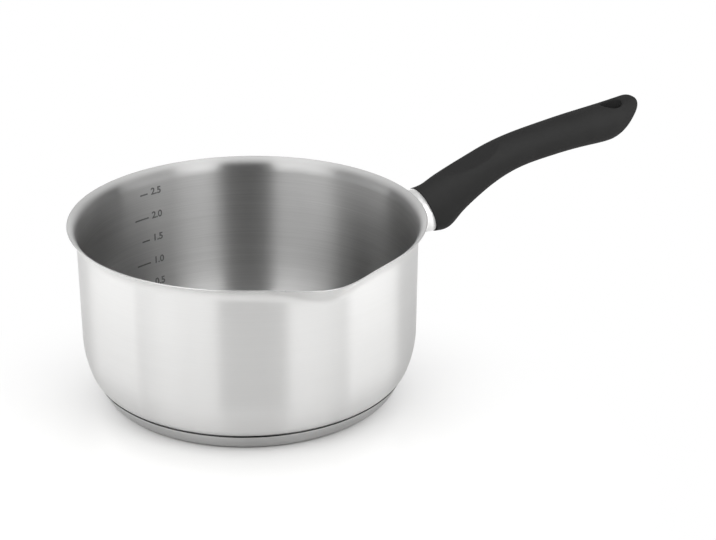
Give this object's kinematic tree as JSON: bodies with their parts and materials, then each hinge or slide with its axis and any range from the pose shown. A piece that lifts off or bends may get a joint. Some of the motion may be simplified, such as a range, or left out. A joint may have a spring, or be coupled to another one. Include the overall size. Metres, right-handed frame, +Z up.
{
  "type": "milk pan",
  "caption": "Milk pan: straight steel wall, flared rim with a pouring lip, encapsulated base, rising moulded handle with a hanging hole.",
  "frame": {"origin": "on the pan's axis, at the underside of the base, which rests on the hob", "axes": "+Z up along the pan's axis, +X from the axis towards the handle's tail, -Y towards the pouring lip"},
  "size_m": [0.3839, 0.2192, 0.1405],
  "materials": {
    "body_steel": "satin outside, circular brushing inside, polished rim",
    "base_steel": "turned satin",
    "core_aluminium": "plain, hidden",
    "guard_steel": "polished",
    "hardware_steel": "plain",
    "grip_plastic": "fine matt, charcoal"
  },
  "bodies": {
    "root": {"pan_body": "body_steel", "base_cap": "base_steel", "base_core": "core_aluminium", "flame_guard": "guard_steel", "handle_bracket": "hardware_steel", "clinch_nut": "hardware_steel", "lock_washer": "hardware_steel", "handle_screw": "hardware_steel", "handle_grip": "grip_plastic"}
  },
  "joints": []
}
